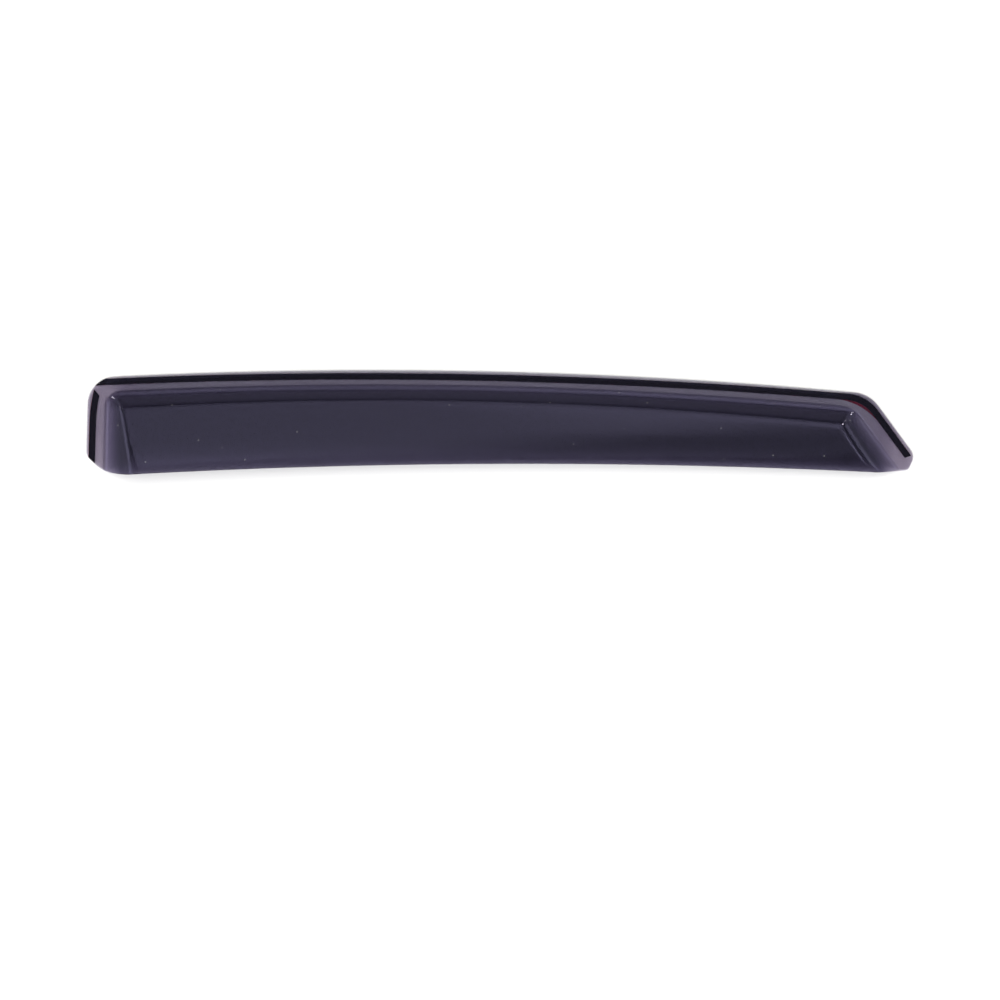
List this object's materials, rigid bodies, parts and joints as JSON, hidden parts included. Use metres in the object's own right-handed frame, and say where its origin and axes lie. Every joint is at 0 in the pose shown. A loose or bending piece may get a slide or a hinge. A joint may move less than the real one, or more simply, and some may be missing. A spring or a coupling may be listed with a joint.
{
  "type": "window rain deflector",
  "caption": "Stick-on smoked acrylic window rain deflector: a long arched moulding with a taped flange, coved walls, a raised sloping face and a free rolled lower lip.",
  "frame": {"origin": "centre of the plan's bounding box, on the surface that the tape is stuck to", "axes": "+X to the front of the car, +Y up to the roof edge, +Z out from the door"},
  "size_m": [0.8268, 0.1045, 0.0169],
  "materials": {
    "smoked_acrylic": "polished, see-through dark smoke tint",
    "foam_tape": "matte closed-cell foam",
    "release_liner": "satin film"
  },
  "bodies": {
    "root": {"deflector_shell": "smoked_acrylic", "long_tape": "foam_tape", "short_tape": "foam_tape", "long_tape_liner": "release_liner", "short_tape_liner": "release_liner"}
  },
  "joints": []
}
